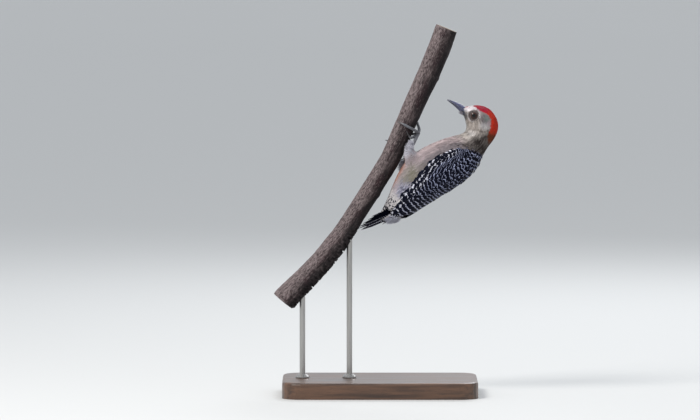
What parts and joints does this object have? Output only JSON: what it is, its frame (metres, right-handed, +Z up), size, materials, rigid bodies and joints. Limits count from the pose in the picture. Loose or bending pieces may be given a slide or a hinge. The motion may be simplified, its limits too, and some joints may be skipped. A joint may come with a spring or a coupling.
{
  "type": "male red-crowned woodpecker on a perch",
  "caption": "Still life-size woodpecker with red cap and barred wings, clinging under a leaning cut branch held over a flat base by short rods.",
  "frame": {"origin": "middle of the display base's underside", "axes": "+Z up; -Y towards the bird's left side; the perch leans towards +X and the bill points towards -X and up"},
  "size_m": [0.19, 0.104, 0.3141],
  "materials": {
    "plumage_pale": "soft pale buff-grey feathers",
    "plumage_head": "soft crimson cap over a pale grey face",
    "plumage_barred": "black feathers barred and spotted with white",
    "plumage_black": "sleek black flight and tail feathers",
    "bill_horn": "satin slate-grey horn",
    "eye_gloss": "glossy dark brown eye",
    "foot_scales": "dry pale blue-grey scaled skin",
    "claw_horn": "satin grey horn",
    "perch_bark": "weathered grey-brown bark, raw cut ends",
    "base_wood": "dark satin wood",
    "rod_metal": "brushed"
  },
  "bodies": {
    "root": {"trunk": "plumage_pale", "neck": "plumage_pale", "thigh_left": "plumage_pale", "thigh_right": "plumage_pale", "head": "plumage_head", "wing_left": "plumage_barred", "primaries_left": "plumage_black", "rectrix_left_1": "plumage_black", "rectrix_left_2": "plumage_black", "rectrix_left_3": "plumage_black", "rectrix_left_4": "plumage_black", "rectrix_left_5": "plumage_black", "eye_left": "eye_gloss", "foot_left": "foot_scales", "claw_left_1": "claw_horn", "claw_left_2": "claw_horn", "claw_left_3": "claw_horn", "claw_left_4": "claw_horn", "wing_right": "plumage_barred", "primaries_right": "plumage_black", "rectrix_right_1": "plumage_black", "rectrix_right_2": "plumage_black", "rectrix_right_3": "plumage_black", "rectrix_right_4": "plumage_black", "rectrix_right_5": "plumage_black", "eye_right": "eye_gloss", "foot_right": "foot_scales", "claw_right_1": "claw_horn", "claw_right_2": "claw_horn", "claw_right_3": "claw_horn", "claw_right_4": "claw_horn", "bill_upper": "bill_horn", "bill_lower": "bill_horn", "perch": "perch_bark", "stand_base": "base_wood", "stand_rod_low": "rod_metal", "stand_collar_low": "rod_metal", "stand_rod_high": "rod_metal", "stand_collar_high": "rod_metal"}
  },
  "joints": []
}
